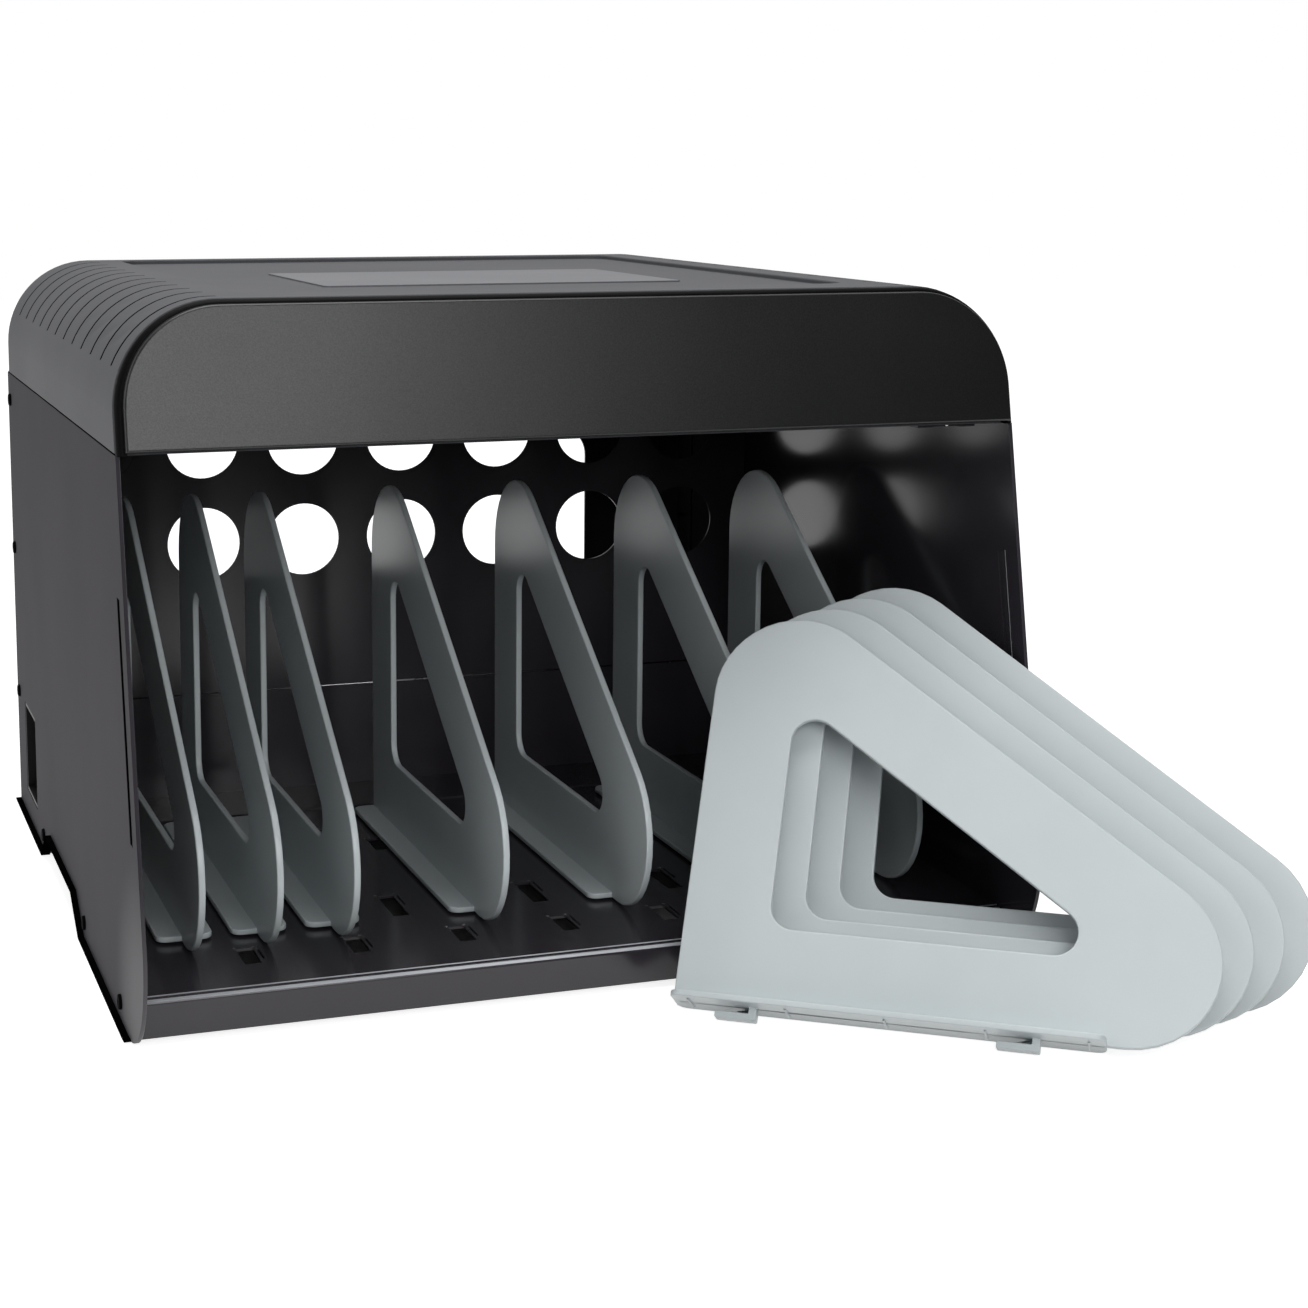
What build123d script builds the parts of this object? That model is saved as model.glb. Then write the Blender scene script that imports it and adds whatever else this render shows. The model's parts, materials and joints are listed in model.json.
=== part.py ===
# Desktop charging cabinet for a class set of tablets, with eleven lift-out dividers.
# Seven dividers sit in the floor slots and four stand loose in front of the cabinet.
# Built in the cabinet's own frame: X across, Y from the front edge to the rear, Z up.
# At the end the whole set is moved so that the origin is the middle of its footprint.
import os
from math import cos, hypot, radians, tan

from build123d import *

os.makedirs("parts", exist_ok=True)

# Cabinet, driving sizes in mm
slot_pitch = 40.0
slot_count = 11
depth = 513.0
height = 363.0
cover_height = 73.0
side_top = height - cover_height
side_sheet = 2.0
sheet = 1.5
overrun = 10.0
fit_gap = 0.3
width = slot_pitch * (slot_count + 1)
half_width = width / 2
inner_half = half_width - side_sheet

# Raked front: angle from upright, and the toe of the side panels, rounded off a corner at this Y
rake = 11.45
toe_radius = 52.0
toe_corner = -8.5

# Side panels, each on a rubber strip that follows its lower edge and stands out as a narrow ledge
strip_thick = 1.0
strip_reach = 3.5
strip_front = 46.0
flange_inset = 6.0
foot_flange = 18.0
arch_start = 211.0
arch_from_rear = 137.0
arch_end = depth - arch_from_rear
arch_height = 18.0
arch_front_run = 29.0
arch_rear_run = 22.0
slit_back = 13.0
slit_width = 7.5
slit_low = 105.0
slit_below_top = 69.0
slit_high = side_top - slit_below_top
top_flange = 14.0

# Screws: head, shank and socket, then their places from the rear, from the front, and their heights
screw_head_r = 4.0
screw_head_h = 1.6
screw_round = 0.9
screw_shank_r = 1.4
screw_length = 7.0
screw_clear = 0.2
socket_r = 1.2
socket_depth = 0.7
rear_screw_inset = 13.0
rear_screw_drops = (17.0, 115.0)
rear_screw_low = 78.0
rear_screw_heights = (side_top - rear_screw_drops[0], side_top - rear_screw_drops[1],
                      rear_screw_low)
low_screw_firsts = (77.0, 206.0)
low_screw_from_rear = 128.0
low_screw_places = low_screw_firsts + (depth - low_screw_from_rear,)
low_screw_height = 10.5

# Power inlet in the left side panel
inlet_from_rear = 95.0
inlet_front = depth - inlet_from_rear
inlet_length = 54.0
inlet_low = 17.6
inlet_high = 77.0
inlet_depth = 34.0
recess_depth = 12.0
recess_wall = 2.0
socket_width = 27.0
socket_high = 20.0
socket_long = 16.0
cavity_depth = 12.0
cavity_wall = 2.2
cavity_corner = 4.0
pin_root = 1.9
pin_width = 4.0
pin_thick = 2.0
pin_long = 9.0
pin_spread = 7.0
pin_offset = 2.0
rocker_radius = 9.5
rocker_width = 13.0
rocker_face = 2.0
rocker_sink = 1.0
rocker_tilt = 7.0
rocker_gap = 0.4

# Floor pan with its rolled front lip
floor_top = 24.0
floor_front = 39.0
lip_radius = 2.6
lip_step = 0.8
lip_land = 4.5
front_strip_low = 4.0
skirt_height = 4.0
tab_half = 5.0
tab_below = 3.5
bay_depth = 117.0
partition_y = depth - bay_depth

# Slots in the floor pan: hook slots for the dividers, and two rows of spare ones
spare_slot_length = 24.0
hook_slot_length = 36.0
key_width = 9.0
slit_aside = 1.6
floor_slit_width = 1.2
floor_slit_length = 18.0
front_row_pitch = 57.5
front_row_count = 7
front_row_y = 74.5
rear_row_ahead = 149.0
rear_row_y = partition_y - rear_row_ahead

# Dividers: a rounded triangular plate on a flange, with two hooks under it
divider_ahead = 67.0
divider_rear = partition_y - divider_ahead
plate_thick = 3.6
apex_below_top = 39.5
plate_apex = side_top - apex_below_top
nose_overhang = 32.0
plate_reach = divider_rear + nose_overhang
apex_radius = 43.5
nose_radius = 43.8
window_rear = 44.0
window_base = 42.0
window_slope = 44.4
window_radius = 12.0
flange_width = 30.0
flange_behind_nose = 148.0
flange_length = plate_reach - flange_behind_nose
flange_thick = 3.0
flange_round = 6.0
rib_height = 0.8
rib_width = 1.2
rib_first = 9.0
rib_last = 8.0
rib_count = 5
rib_pitch = (flange_length - rib_first - rib_last) / (rib_count - 1)
first_hook = 22.2
last_hook_ahead = 51.8
hook_starts = (first_hook, flange_length - last_hook_ahead)
hook_length = 21.0
hook_width = 7.6
hook_bar = 3.4
hook_post = 4.0
hook_clear = 0.5
rest_gap = 0.3
unhook_travel = 7.5
seated_slots = (-5, -4, -3, -1, 1, 3, 5)

# Loose dividers: the first one's rear corner, and the step to each next one
loose_count = 4
loose_x = 27.6
loose_y = -1.2
loose_step_x = 24.4
loose_step_y = 9.6
loose_turn_angle = 54.9
loose_lean_angle = 33.0
loose_angle_step = 2.5

# Partition between the tablets and the charger bay
hole_radius = 23.0
hole_pitch = 64.8
hole_columns = 7
hole_aside = 4.0
hole_below_top = 101.8
hole_low = side_top - hole_below_top
fold_height = 91.0
seam_flange = 10.0
foot_plate = 54.0
panel_sheet = 1.2

# Rear wall with its access opening, and the pan of the charger bay
rear_low = 12.0
opening_from_left = 95.0
opening_from_right = 75.0
opening_low = 70.0
opening_below_top = 50.0
opening_high = side_top - opening_below_top
opening_radius = 20.0
bay_pan_top = 12.0
rear_screw_from_side = 40.0
rear_screw_x = half_width - rear_screw_from_side
rear_fix_low = 45.0
rear_fix_below_top = 35.0
rear_fix_heights = (rear_fix_low, side_top - rear_fix_below_top)
angle_low = 30.0
angle_below_top = 6.0
angle_high = side_top - angle_below_top
angle_arm = 24.0
angle_reach = 50.0

# Ceiling sheet, front rail and lock keeper
ceiling_front = 58.0
rail_depth = 9.0
rail_height = 6.0
keeper_width = 34.0
keeper_depth = 9.0
keeper_thick = 2.0
keeper_from_side = 16.0
keeper_slot = 16.0
keeper_slot_depth = 3.4

# Moulded top cover
cover_wall = 3.0
shoulder_radius = 53.0
cover_front = 52.5
cover_rear_round = 9.0
cover_front_round = 0.8
shadow_gap = 1.0
shadow_depth = 1.2
vent_count = 12
vent_first = 84.0
vent_from_rear = 44.0
vent_last = depth - vent_from_rear
vent_pitch = (vent_last - vent_first) / (vent_count - 1)
vent_width = 3.6
vent_below_top = 33.0
vent_low = height - vent_below_top
vent_from_side = 56.0
vent_inner = half_width - vent_from_side
tray_from_side = 72.0
tray_half = half_width - tray_from_side
tray_front = 105.0
tray_from_rear = 21.0
tray_rear = depth - tray_from_rear
tray_depth = 2.5
tray_radius = 14.0
tray_soft = 1.0
label_aside = 64.0
label_half = tray_half - label_aside
label_behind = 82.0
label_front = tray_front + label_behind
label_ahead = 160.0
label_rear = tray_rear - label_ahead
label_thick = 0.8
label_radius = 3.0

# Fascia and the black trim plate behind it
fascia_inset = 4.2
fascia_lift = 2.0
fascia_low = side_top + fascia_lift
fascia_top_drop = 2.6
fascia_front = 43.0
fascia_thick = 5.0
fascia_round = 1.2
trim_inset = 0.4
trim_top_drop = 0.4
trim_round = 3.0

# Charger parts in the rear bay
hub_length = 280.0
hub_depth = 70.0
hub_height = 38.0
hub_behind = 18.0
hub_front = partition_y + hub_behind
hub_round = 4.0
port_count = 10
port_pitch = 26.0
port_width = 14.5
port_depth = 7.0
port_sink = 6.0
port_wall = 0.6
port_tongue = 1.8
supply_length = 66.0
supply_depth = 92.0
supply_height = 52.0
supply_behind = 12.0
supply_front = partition_y + supply_behind
supply_round = 1.5
grille_count = 7
grille_pitch = 9.0
grille_width = 3.0
grille_length = 60.0
grille_depth = 2.0
supply_gap = 12.0
charger_row_x = 29.0
hub_left = charger_row_x - (hub_length + supply_gap + supply_length) / 2
supply_left = hub_left + hub_length + supply_gap

# Values that follow from the sizes above
rake_tan = tan(radians(rake))
seat_height = floor_top + rest_gap + rib_height


def front_edge(z):
    """Y of the raked front edge of a side panel at height z."""
    return toe_corner + z * rake_tan


def block(x0, x1, y0, y1, z0, z1):
    """Box between two corners."""
    size = Box(x1 - x0, y1 - y0, z1 - z0)
    return Pos((x0 + x1) / 2, (y0 + y1) / 2, (z0 + z1) / 2) * size


def slab_x(points, x0, x1):
    """Plate with an outline of (y, z) points, between two planes of X."""
    face = make_face(Polyline(*[(0, y, z) for y, z in points], close=True))
    return Pos(x0, 0, 0) * extrude(face, amount=x1 - x0, dir=(1, 0, 0))


def rod(radius, length, x, y, z, axis):
    """Cylinder that starts at a point and runs along an axis."""
    return Plane(origin=(x, y, z), z_dir=axis) * Cylinder(
        radius, length, align=(Align.CENTER, Align.CENTER, Align.MIN))


def raked_slab(y_low, z_low, thick):
    """Wide slab whose faces lean back by the rake, through a front line at y_low, z_low."""
    z_top = height + overrun
    z_base = side_top - overrun
    front_base = y_low + (z_base - z_low) * rake_tan
    front_top = y_low + (z_top - z_low) * rake_tan
    along = thick / cos(radians(rake))
    points = [(front_base, z_base), (front_top, z_top),
              (front_top + along, z_top), (front_base + along, z_base)]
    return slab_x(points, -half_width - overrun, half_width + overrun)


# Screws

def screw(x, y, z, axis):
    """Screw with a rounded head on the panel's face; axis points out of the panel."""
    head = Cylinder(screw_head_r, screw_head_h, align=(Align.CENTER, Align.CENTER, Align.MIN))
    head = fillet(head.edges().sort_by(Axis.Z)[-1], screw_round)
    head -= Pos(0, 0, screw_head_h) * Cylinder(socket_r, 2 * socket_depth)
    shank = Cylinder(screw_shank_r, screw_length, align=(Align.CENTER, Align.CENTER, Align.MAX))
    return Plane(origin=(x, y, z), z_dir=axis) * (head + shank)


def screw_hole(x, y, z, axis):
    """Clearance for the shank of one screw, cut from outside the panel."""
    inward = tuple(-a for a in axis)
    return rod(screw_shank_r + screw_clear, screw_length + screw_clear, x, y, z, inward)


def side_screw_places():
    """(y, z) of every screw in one side panel."""
    places = [(depth - rear_screw_inset, z) for z in rear_screw_heights]
    return places + [(y, low_screw_height) for y in low_screw_places]


def rear_screw_places():
    """(x, z) of every screw in the rear wall."""
    return [(side * rear_screw_x, z) for side in (-1, 1) for z in rear_fix_heights]


# Side panels

def side_outline():
    """Outline of a side in (y, z): raked front, toe corner, arch between the feet."""
    return [
        (toe_corner, 0),
        (arch_start, 0),
        (arch_start + arch_front_run, arch_height),
        (arch_end - arch_rear_run, arch_height),
        (arch_end, 0),
        (depth, 0),
        (depth, side_top),
        (front_edge(side_top), side_top),
    ]


def side_blank(side, reach):
    """Whole side with its rounded toe, from the panel's inner face to a reach beyond its outer one."""
    x0, x1 = sorted((side * (half_width + reach), side * inner_half))
    blank = slab_x(side_outline(), x0, x1)
    toe_edge = blank.edges().filter_by(Axis.X).group_by(Axis.Z)[0].sort_by(Axis.Y)[0]
    return fillet(toe_edge, toe_radius)


def foot_strip(side):
    """Rubber strip that follows the feet and the arch of one side, with its outer ledge."""
    blank = side_blank(side, strip_reach)
    ahead = block(-width, width, -depth, strip_front, -overrun, height)
    return blank - Pos(0, 0, strip_thick) * blank - ahead


def slit_cut(side):
    """Narrow slit that follows the raked front edge."""
    across = slit_width / cos(radians(rake))
    rows = [(slit_low, 0), (slit_low, across), (slit_high, across), (slit_high, 0)]
    points = [(front_edge(z) + slit_back + shift, z) for z, shift in rows]
    outer = side * (half_width + overrun)
    inner = side * (inner_half - overrun)
    return slab_x(points, min(outer, inner), max(outer, inner))


def side_panel(side):
    """One side of the cabinet, with its foot flanges and the ledge for the ceiling."""
    panel = side_blank(side, 0) - foot_strip(side)
    x0, x1 = sorted((side * inner_half, side * (inner_half - foot_flange)))
    for y0, y1 in ((toe_radius + flange_inset, arch_start), (arch_end, depth - sheet)):
        panel += block(x0, x1, y0, y1, strip_thick, strip_thick + sheet)
    x0, x1 = sorted((side * inner_half, side * (inner_half - top_flange)))
    panel += block(x0, x1, front_edge(side_top) + slit_back, depth - sheet, side_top - sheet, side_top)
    panel -= slit_cut(side)
    for y, z in side_screw_places():
        panel -= screw_hole(side * half_width, y, z, (side, 0, 0))
    if side < 0:
        panel -= block(-half_width - overrun, -inner_half + overrun, inlet_front,
                       inlet_front + inlet_length, inlet_low, inlet_high)
    return panel


def side_screws():
    """All screws of both side panels."""
    return [screw(side * half_width, y, z, (side, 0, 0))
            for side in (-1, 1) for y, z in side_screw_places()]


# Power inlet

inlet_mid = inlet_front + inlet_length / 2
recess_floor = -inner_half + recess_depth
socket_mid_z = inlet_low + recess_wall + socket_high / 2 + recess_wall
rocker_z = inlet_high - recess_wall - rocker_radius - recess_wall
rocker_x = recess_floor + rocker_sink


def inlet_housing():
    """Moulded recess that holds the mains socket and the switch."""
    y0 = inlet_front + fit_gap
    y1 = inlet_front + inlet_length - fit_gap
    z0 = inlet_low + fit_gap
    z1 = inlet_high - fit_gap
    body = block(-half_width + fit_gap, -inner_half + inlet_depth, y0, y1, z0, z1)
    body -= block(-half_width - overrun, recess_floor, y0 + recess_wall, y1 - recess_wall,
                  z0 + recess_wall, z1 - recess_wall)
    body -= block(-half_width - overrun, recess_floor + socket_long,
                  inlet_mid - socket_width / 2 - fit_gap, inlet_mid + socket_width / 2 + fit_gap,
                  socket_mid_z - socket_high / 2 - fit_gap, socket_mid_z + socket_high / 2 + fit_gap)
    half = rocker_width / 2 + rocker_gap
    pocket_r = rocker_radius + rocker_gap
    body -= rod(pocket_r, 2 * half, rocker_x, inlet_mid - half, rocker_z, (0, 1, 0))
    return body


def inlet_socket():
    """Mains socket: a shroud round a keyed cavity, slotted at its root for the pins."""
    x0 = recess_floor
    y0 = inlet_mid - socket_width / 2
    y1 = inlet_mid + socket_width / 2
    z0 = socket_mid_z - socket_high / 2
    z1 = socket_mid_z + socket_high / 2
    body = block(x0, x0 + socket_long, y0, y1, z0, z1)
    cavity = block(x0 - overrun, x0 + cavity_depth, y0 + cavity_wall, y1 - cavity_wall,
                   z0 + cavity_wall, z1 - cavity_wall)
    body -= chamfer(cavity.edges().filter_by(Axis.X).group_by(Axis.Z)[-1], cavity_corner)
    for pin in inlet_pins():
        body -= pin
    return body


def inlet_pins():
    """The three flat contact pins, rooted in the back of the socket."""
    x1 = recess_floor + cavity_depth + pin_root
    pins = []
    for y_off, z_off in ((-pin_spread, -pin_offset), (0, pin_offset), (pin_spread, -pin_offset)):
        y = inlet_mid + y_off
        z = socket_mid_z + z_off
        pins.append(block(x1 - pin_long, x1, y - pin_thick / 2, y + pin_thick / 2,
                          z - pin_width / 2, z + pin_width / 2))
    return pins


def rocker_switch():
    """Rocker: a disc on its pivot, with two flats that meet in a shallow V."""
    disc = rod(rocker_radius, rocker_width, 0, -rocker_width / 2, 0, (0, 1, 0))
    reach = 2 * rocker_radius
    outside = block(-reach - rocker_face, -rocker_face, -reach, reach, -reach, reach)
    for lean in (rocker_tilt, -rocker_tilt):
        disc -= Rot(0, lean, 0) * outside
    disc = Rot(0, rocker_tilt, 0) * disc
    return Pos(rocker_x, inlet_mid, rocker_z) * disc


# Floor pan

def key_slot(x, y, length):
    """Slot for one hook, with a thin slit beside its rear end."""
    low = floor_top - 2 * sheet
    high = floor_top + overrun
    half = key_width / 2
    cut = block(x - half, x + half, y, y + length, low, high)
    slit_x = x + half + slit_aside
    return cut + block(slit_x, slit_x + floor_slit_width, y + length - floor_slit_length,
                       y + length, low, high)


def hook_slot_y(start):
    """Front end of the floor slot that a hook rises through when its divider is slid forward."""
    hook_rear = divider_rear - start
    return hook_rear - unhook_travel + hook_clear - hook_slot_length


def floor_pan():
    """Floor sheet with a rolled front lip, a front strip below it and side skirts."""
    x = inner_half - fit_gap
    rear = partition_y - fit_gap
    land = floor_front + lip_land
    nose_top = floor_top - lip_step
    profile = [
        (floor_front, front_strip_low), (floor_front, nose_top), (land, nose_top), (land, floor_top),
        (rear, floor_top), (rear, floor_top - sheet), (land + sheet, floor_top - sheet),
        (floor_front + sheet, nose_top - 2 * sheet), (floor_front + sheet, front_strip_low),
    ]
    pan = slab_x(profile, -x, x)
    nose = pan.edges().filter_by(Axis.X).sort_by(
        lambda edge: abs(edge.center().Y - floor_front) + abs(edge.center().Z - nose_top))[0]
    pan = fillet(nose, lip_radius)
    for side in (-1, 1):
        x0, x1 = sorted((side * x, side * (x - sheet)))
        under = floor_top - sheet
        pan += block(x0, x1, floor_front + sheet, rear, under - skirt_height, under)
        for y in low_screw_places:
            pan += block(x0, x1, y - tab_half, y + tab_half, low_screw_height - tab_below, under)
            pan -= rod(screw_shank_r + screw_clear, screw_length + screw_clear,
                       side * half_width, y, low_screw_height, (-side, 0, 0))
    for i in range(slot_count):
        slot_x = (i - (slot_count - 1) / 2) * slot_pitch
        for start in hook_starts:
            pan -= key_slot(slot_x, hook_slot_y(start), hook_slot_length)
    for i in range(front_row_count):
        row_x = (i - (front_row_count - 1) / 2) * front_row_pitch
        for row_y in (front_row_y, rear_row_y):
            pan -= key_slot(row_x, row_y, spare_slot_length)
    return pan


# Dividers

def divider_outline(inset_rear, inset_base, inset_slope, corner_radii):
    """Rounded triangle in (y, z), with the front towards -y, drawn in from its three sides."""
    slope = plate_apex / plate_reach
    along = hypot(1, slope)
    apex = plate_apex - inset_slope * along
    tip = Vector(0, -inset_rear, apex - inset_rear * slope)
    heel = Vector(0, -inset_rear, inset_base)
    nose = Vector(0, -(apex - inset_base) / slope, inset_base)
    outline = FilletPolyline(heel, tip, nose, radius=list(corner_radii), close=True)
    return make_face(outline)


def divider():
    """One divider with its rear bottom corner at the origin, standing upright along -Y."""
    heel_radius = flange_round / 2
    plate = extrude(divider_outline(0, 0, 0, (heel_radius, apex_radius, nose_radius)),
                    amount=plate_thick / 2, dir=(1, 0, 0), both=True)
    window = extrude(divider_outline(window_rear, window_base, window_slope, (window_radius,) * 3),
                     amount=plate_thick, dir=(1, 0, 0), both=True)
    flange = block(-flange_width / 2, flange_width / 2, -flange_length, 0, 0, flange_thick)
    flange = fillet(flange.edges().filter_by(Axis.Z), flange_round)
    body = plate - window + flange
    for i in range(rib_count):
        y = -(rib_first + i * rib_pitch)
        body += block(-flange_width / 2 + flange_round, flange_width / 2 - flange_round,
                      y - rib_width / 2, y + rib_width / 2, -rib_height, flange_thick / 2)
    drop = rib_height + rest_gap + sheet + hook_clear
    for start in hook_starts:
        front = -(start + hook_length)
        body += block(-hook_width / 2, hook_width / 2, front, front + hook_post,
                      -drop - hook_bar, flange_thick / 2)
        body += block(-hook_width / 2, hook_width / 2, front, -start, -drop - hook_bar, -drop)
    return body


def seated_divider(slot):
    """A divider in its floor slots."""
    return Pos(slot * slot_pitch, divider_rear, seat_height) * divider()


def loose_divider(i):
    """A divider taken out and leaned back, standing on the far edge of its flange."""
    lean = loose_lean_angle - i * loose_angle_step
    turned = Rot(0, 0, loose_turn_angle) * (Rot(0, lean, 0) * divider())
    placed = Pos(loose_x + i * loose_step_x, loose_y + i * loose_step_y, 0) * turned
    return Pos(0, 0, -placed.bounding_box().min.Z) * placed


# Partition, rear wall and ceiling

def upper_partition():
    """Perforated upper partition, with a top flange and a folded lower edge."""
    x = inner_half - fit_gap
    low = fold_height + fit_gap
    high = side_top - sheet - fit_gap
    clear = top_flange + fit_gap
    panel = block(-x, x, partition_y, partition_y + panel_sheet, low, high)
    panel += block(-x, x, partition_y, partition_y + seam_flange, low, low + panel_sheet)
    panel += block(-x + clear, x - clear, partition_y, partition_y + seam_flange, high - panel_sheet, high)
    for i in range(hole_columns):
        x_hole = (i - (hole_columns - 1) / 2) * hole_pitch - hole_aside
        for row in (0, 1):
            panel -= rod(hole_radius, 2 * overrun, x_hole, partition_y - overrun,
                         hole_low + row * hole_pitch, (0, 1, 0))
    return panel


def lower_partition():
    """Plain lower partition, with a foot that lies on the floor and a rear seam flange."""
    x = inner_half - fit_gap
    panel = block(-x, x, partition_y, partition_y + panel_sheet, floor_top - sheet, fold_height)
    panel += block(-x, x, partition_y - foot_plate, partition_y + panel_sheet,
                   floor_top, floor_top + panel_sheet)
    return panel + block(-x, x, partition_y, partition_y + seam_flange,
                         fold_height - panel_sheet, fold_height)


def rear_wall():
    """Rear wall with a large access opening for reaching the chargers."""
    x = inner_half - fit_gap
    wall = block(-x, x, depth - sheet, depth, rear_low, side_top - fit_gap)
    cut = block(opening_from_left - half_width, half_width - opening_from_right,
                depth - overrun, depth + overrun, opening_low, opening_high)
    wall -= fillet(cut.edges().filter_by(Axis.Y), opening_radius)
    for x_fix, z_fix in rear_screw_places():
        wall -= screw_hole(x_fix, depth, z_fix, (0, 1, 0))
    return wall


def corner_angles():
    """Two tall angles that join the rear wall to the side panels."""
    angles = []
    for side in (-1, 1):
        arm = inner_half - fit_gap
        x0, x1 = sorted((side * arm, side * (arm - angle_reach)))
        piece = block(x0, x1, depth - 2 * sheet, depth - sheet, angle_low, angle_high)
        x0, x1 = sorted((side * arm, side * (arm - sheet)))
        piece += block(x0, x1, depth - sheet - angle_arm, depth - sheet, angle_low, angle_high)
        hole_r = screw_shank_r + screw_clear
        for z in rear_fix_heights:
            piece -= rod(hole_r, screw_length + screw_clear, side * rear_screw_x, depth, z, (0, -1, 0))
        for z in rear_screw_heights:
            piece -= rod(hole_r, screw_length + screw_clear, side * half_width,
                         depth - rear_screw_inset, z, (-side, 0, 0))
        angles.append(piece)
    return angles


def rear_screws():
    """Screws of the rear wall."""
    return [screw(x, depth, z, (0, 1, 0)) for x, z in rear_screw_places()]


def bay_pan():
    """Low pan under the charger bay, between the partition and the rear wall."""
    x = inner_half - fit_gap
    y0 = partition_y + fit_gap
    pan = block(-x, x, y0, depth - sheet - fit_gap, bay_pan_top - sheet, bay_pan_top)
    return pan + block(-x, x, y0, y0 + sheet, bay_pan_top - sheet, floor_top - sheet)


def ceiling_sheet():
    """Sheet that closes the tablet space, laid on the ledges of the sides and inside the cover."""
    x = half_width - cover_wall - fit_gap
    return block(-x, x, ceiling_front, depth - cover_wall - fit_gap, side_top, side_top + sheet)


def front_rail():
    """Rail on the front edge of the ceiling, behind the fascia."""
    x = half_width - cover_wall - 2 * fit_gap
    low = side_top + sheet
    return block(-x, x, ceiling_front, ceiling_front + rail_depth, low, low + rail_height)


def lock_keeper():
    """Slotted keeper for the door lock, under the right end of the ceiling's front edge."""
    right = inner_half - keeper_from_side
    left = right - keeper_width
    plate = block(left, right, ceiling_front, ceiling_front + keeper_depth, side_top - keeper_thick, side_top)
    mid = (left + right) / 2
    return plate - block(mid - keeper_slot / 2, mid + keeper_slot / 2, ceiling_front - overrun,
                         ceiling_front + keeper_slot_depth, side_top - overrun, side_top + overrun)


# Top cover, label plate, fascia and trim

def arch_profile(inset, low, top_drop):
    """Face in XZ: upright sides and a flat top joined by the shoulder arcs."""
    x = half_width - inset
    z = height - top_drop
    radius = shoulder_radius - max(inset, top_drop)
    points = [(-x, 0, low), (-x, 0, z), (x, 0, z), (x, 0, low)]
    outline = Polyline(*points, close=True)
    face = make_face(outline)
    corners = face.vertices().group_by(Axis.Z)[-1]
    return fillet(corners, radius)


def arch_solid(inset, low, top_drop, y0, y1):
    """Arch profile carried along Y."""
    face = Pos(0, y0, 0) * arch_profile(inset, low, top_drop)
    return extrude(face, amount=y1 - y0, dir=(0, 1, 0))


def top_cover():
    """Moulded cover with rounded shoulders, vents, and a shallow tray on top."""
    ahead = cover_front - width
    outer = arch_solid(0, side_top, 0, 0, depth)
    outer -= raked_slab(ahead, side_top, width * cos(radians(rake)))
    above = side_top + cover_wall
    rear_edges = outer.edges().group_by(Axis.Y)[-1].filter_by(lambda edge: edge.center().Z > above)
    outer = fillet(rear_edges, cover_rear_round)
    front_edges = front_face(outer).edges().filter_by(lambda edge: edge.center().Z > above)
    outer = fillet(front_edges, cover_front_round)
    inner = arch_solid(cover_wall, side_top - overrun, cover_wall + tray_depth, 0, depth - cover_wall)
    inner -= raked_slab(ahead, side_top, (width + cover_wall) * cos(radians(rake)))
    cover = outer - inner - shadow_groove()
    tray = block(-tray_half, tray_half, tray_front, tray_rear, height - tray_depth, height + overrun)
    cover -= fillet(tray.edges().filter_by(Axis.Z), tray_radius)
    top_face = cover.faces().filter_by(Axis.Z).sort_by(Axis.Z)[-1]
    cover = fillet(top_face.inner_wires()[0].edges(), tray_soft)
    for i in range(vent_count):
        y = vent_first + i * vent_pitch
        for side in (-1, 1):
            x0, x1 = sorted((side * vent_inner, side * (half_width + overrun)))
            cover -= block(x0, x1, y - vent_width / 2, y + vent_width / 2, vent_low, height + overrun)
    return cover


def shadow_groove():
    """Narrow step round the outside of the cover's foot, which shows as a dark line above the sides."""
    x = half_width + overrun
    ring = block(-x, x, 0, depth + overrun, side_top, side_top + shadow_gap)
    x = half_width - shadow_depth
    return ring - block(-x, x, -overrun, depth - shadow_depth, side_top - overrun, height)


def front_face(solid):
    """Face that looks forward."""
    return solid.faces().sort_by(lambda face: face.normal_at().Y)[0]


def label_plate():
    """Bare plate that lies in the tray."""
    z = height - tray_depth
    plate = block(-label_half, label_half, label_front, label_rear, z, z + label_thick)
    return fillet(plate.edges().filter_by(Axis.Z), label_radius)


def fascia_trim():
    """Black plate in the front of the cover, a dark line over and beside the fascia, level with its foot between."""
    plate = arch_solid(trim_inset, side_top, trim_top_drop, 0, depth / 2)
    front = fascia_front + (side_top - fascia_low) * rake_tan + fascia_thick / cos(radians(rake))
    gap = cover_front - front
    plate = plate & raked_slab(front, side_top, gap * cos(radians(rake)))
    x = half_width - fascia_inset - fascia_round
    plate -= block(-x, x, 0, depth / 2, side_top - overrun, fascia_low)
    above = side_top + trim_round
    return fillet(front_face(plate).edges().filter_by(lambda edge: edge.center().Z > above), trim_round)


def fascia():
    """Moulded front panel with a softened front edge."""
    plate = arch_solid(fascia_inset, fascia_low, fascia_top_drop, 0, depth / 2)
    plate = plate & raked_slab(fascia_front, fascia_low, fascia_thick)
    return fillet(front_face(plate).edges(), fascia_round)


# Chargers in the rear bay

def charging_hub():
    """Case of the charging hub with a pocket for each port."""
    z = bay_pan_top
    case = block(hub_left, hub_left + hub_length, hub_front, hub_front + hub_depth, z, z + hub_height)
    case = fillet(case.edges().filter_by(Axis.Z), hub_round)
    for x, y in port_places():
        case -= block(x - port_width / 2 - fit_gap, x + port_width / 2 + fit_gap,
                      y - port_depth / 2 - fit_gap, y + port_depth / 2 + fit_gap,
                      z + hub_height - port_sink, z + hub_height + overrun)
    return case


def port_places():
    """(x, y) of the middle of each port."""
    mid = hub_left + hub_length / 2
    return [(mid + (i - (port_count - 1) / 2) * port_pitch, hub_front + hub_depth / 2)
            for i in range(port_count)]


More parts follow.
